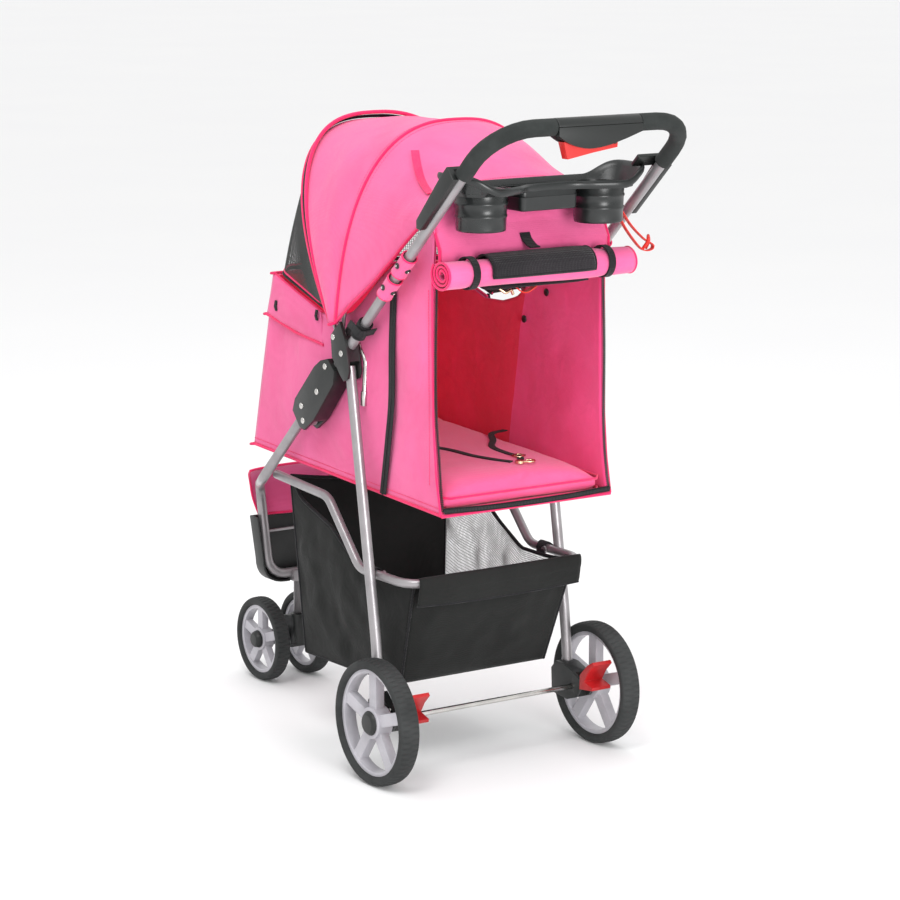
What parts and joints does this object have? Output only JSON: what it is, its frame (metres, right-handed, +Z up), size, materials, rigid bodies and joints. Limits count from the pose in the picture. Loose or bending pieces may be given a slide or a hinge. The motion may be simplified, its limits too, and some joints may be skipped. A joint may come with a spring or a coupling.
{
  "type": "pet stroller",
  "caption": "Folding pet stroller with a soft cabin, folding canopy, rolled-up rear door, storage basket, parent tray, braked rear wheels and a swivelling front caster.",
  "frame": {"origin": "on the floor, in the middle of the stroller's plan", "axes": "+X towards the pusher's right, +Y the way the stroller rolls, +Z up"},
  "size_m": [0.4384, 0.9429, 0.9957],
  "materials": {
    "frame_tube": "satin silver grey",
    "black_plastic": "satin",
    "grip_foam": "matt foam",
    "red_plastic": "satin",
    "pink_fabric": "woven",
    "crimson_fabric": "woven",
    "black_fabric": "woven",
    "window_mesh": "open mesh",
    "webbing": "ribbed webbing",
    "tyre": "matt",
    "rim": "satin",
    "plated_steel": "bright"
  },
  "bodies": {
    "rear_frame": {"rear_leg_left": "frame_tube", "rear_leg_right": "frame_tube", "rear_axle": "plated_steel", "brake_housing_left": "black_plastic", "brake_housing_right": "black_plastic"},
    "upper_frame": {"handle_tube": "frame_tube", "foam_grip_left": "grip_foam", "foam_grip_right": "grip_foam", "grip_housing_upper": "black_plastic", "grip_housing_lower": "black_plastic", "parent_tray": "black_plastic", "tray_arm_left": "black_plastic", "tray_arm_right": "black_plastic", "side_bracket_left": "black_plastic", "side_bracket_right": "black_plastic", "canopy_lever_left": "plated_steel", "canopy_lever_right": "plated_steel", "lock_housing_left": "black_plastic", "lock_housing_right": "black_plastic", "cabin_wall_left": "pink_fabric", "cabin_wall_right": "pink_fabric", "cabin_floor": "pink_fabric", "cabin_pad": "crimson_fabric", "cabin_front_wall": "pink_fabric", "rear_header": "pink_fabric", "door_roll": "pink_fabric", "canopy_rear_panel": "pink_fabric", "leash_strap_a": "webbing", "leash_strap_b": "webbing", "leash_hook": "plated_steel", "wrist_strap": "crimson_fabric"},
    "trigger": {"fold_trigger": "red_plastic"},
    "latch_left": {"lock_slider_left": "plated_steel"},
    "latch_right": {"lock_slider_right": "plated_steel"},
    "canopy_mid": {"canopy_mid_bow": "frame_tube", "canopy_front_panel": "pink_fabric"},
    "canopy_front": {"canopy_front_bow": "frame_tube", "front_window": "window_mesh"},
    "front_frame": {"front_frame_tube": "frame_tube", "caster_stem": "frame_tube", "footrest": "black_plastic", "front_calf_panel": "pink_fabric"},
    "caster": {"caster_housing": "black_plastic", "front_axle": "plated_steel"},
    "front_wheel_left": {"front_left_tyre": "tyre", "front_left_rim": "rim", "front_left_cap": "black_plastic"},
    "front_wheel_right": {"front_right_tyre": "tyre", "front_right_rim": "rim", "front_right_cap": "black_plastic"},
    "rear_wheel_left": {"rear_left_tyre": "tyre", "rear_left_rim": "rim", "rear_left_cap": "black_plastic"},
    "rear_wheel_right": {"rear_right_tyre": "tyre", "rear_right_rim": "rim", "rear_right_cap": "black_plastic"},
    "pedal_left": {"brake_pedal_left": "red_plastic"},
    "pedal_right": {"brake_pedal_right": "red_plastic"},
    "basket_frame": {"basket_tube": "frame_tube", "basket": "black_fabric"}
  },
  "joints": [
    {"name": "frame_fold", "type": "hinge", "parent": "rear_frame", "child": "upper_frame", "pos_m": [0, -0.0885, 0.6], "axis": [1, 0, 0], "range_deg": [0, 100], "deforming": ["cabin_wall_left", "cabin_wall_right", "cabin_floor", "cabin_pad", "cabin_front_wall", "rear_header", "canopy_rear_panel", "canopy_front_panel", "front_window", "front_calf_panel", "basket"]},
    {"name": "front_frame_fold", "type": "hinge", "parent": "upper_frame", "child": "front_frame", "pos_m": [0, 0.02577, 0.51104], "axis": [1, 0, 0], "range_deg": [-130.4, 0]},
    {"name": "basket_fold", "type": "hinge", "parent": "rear_frame", "child": "basket_frame", "pos_m": [0, -0.1365, 0.299], "axis": [1, 0, 0], "range_deg": [0, 37.3]},
    {"name": "canopy_front_fold", "type": "hinge", "parent": "canopy_mid", "child": "canopy_front", "pos_m": [0, -0.0605, 0.65], "axis": [1, 0, 0], "range_deg": [0, 30]},
    {"name": "canopy_mid_fold", "type": "hinge", "parent": "upper_frame", "child": "canopy_mid", "pos_m": [0, -0.0605, 0.65], "axis": [1, 0, 0], "range_deg": [0, 16.5]},
    {"name": "trigger_pull", "type": "hinge", "parent": "upper_frame", "child": "trigger", "pos_m": [0.027, -0.4584, 0.95804], "axis": [0, 1, 0], "range_deg": [0, 6], "stiffness_Nm_per_rad": 1.2},
    {"name": "latch_slide_left", "type": "slide", "parent": "upper_frame", "child": "latch_left", "axis": [0, -0.7314, 0.682], "range_m": [0, 0.008]},
    {"name": "latch_slide_right", "type": "slide", "parent": "upper_frame", "child": "latch_right", "axis": [0, -0.7314, 0.682], "range_m": [0, 0.008]},
    {"name": "caster_swivel", "type": "hinge", "parent": "front_frame", "child": "caster", "pos_m": [0, 0.3555, 0.1], "axis": [0, 0, 1], "continuous": true},
    {"name": "front_left_spin", "type": "hinge", "parent": "caster", "child": "front_wheel_left", "pos_m": [-0.0415, 0.4015, 0.07], "axis": [1, 0, 0], "continuous": true},
    {"name": "front_right_spin", "type": "hinge", "parent": "caster", "child": "front_wheel_right", "pos_m": [0.0415, 0.4015, 0.07], "axis": [1, 0, 0], "continuous": true},
    {"name": "rear_left_spin", "type": "hinge", "parent": "rear_frame", "child": "rear_wheel_left", "pos_m": [-0.201, -0.2005, 0.095], "axis": [1, 0, 0], "continuous": true},
    {"name": "rear_right_spin", "type": "hinge", "parent": "rear_frame", "child": "rear_wheel_right", "pos_m": [0.201, -0.2005, 0.095], "axis": [1, 0, 0], "continuous": true},
    {"name": "brake_left", "type": "hinge", "parent": "rear_frame", "child": "pedal_left", "pos_m": [-0.168, -0.2145, 0.104], "axis": [1, 0, 0], "range_deg": [0, 16]},
    {"name": "brake_right", "type": "hinge", "parent": "rear_frame", "child": "pedal_right", "pos_m": [0.168, -0.2145, 0.104], "axis": [1, 0, 0], "range_deg": [0, 16]}
  ],
  "couplings": [
    {"joint": "front_frame_fold", "follows": "frame_fold", "ratio": -1.304},
    {"joint": "basket_fold", "follows": "frame_fold", "ratio": 0.373},
    {"joint": "canopy_mid_fold", "follows": "canopy_front_fold", "ratio": 0.55},
    {"joint": "latch_slide_left", "follows": "trigger_pull", "m_per_rad": 0.0763},
    {"joint": "latch_slide_right", "follows": "trigger_pull", "m_per_rad": 0.0763}
  ]
}
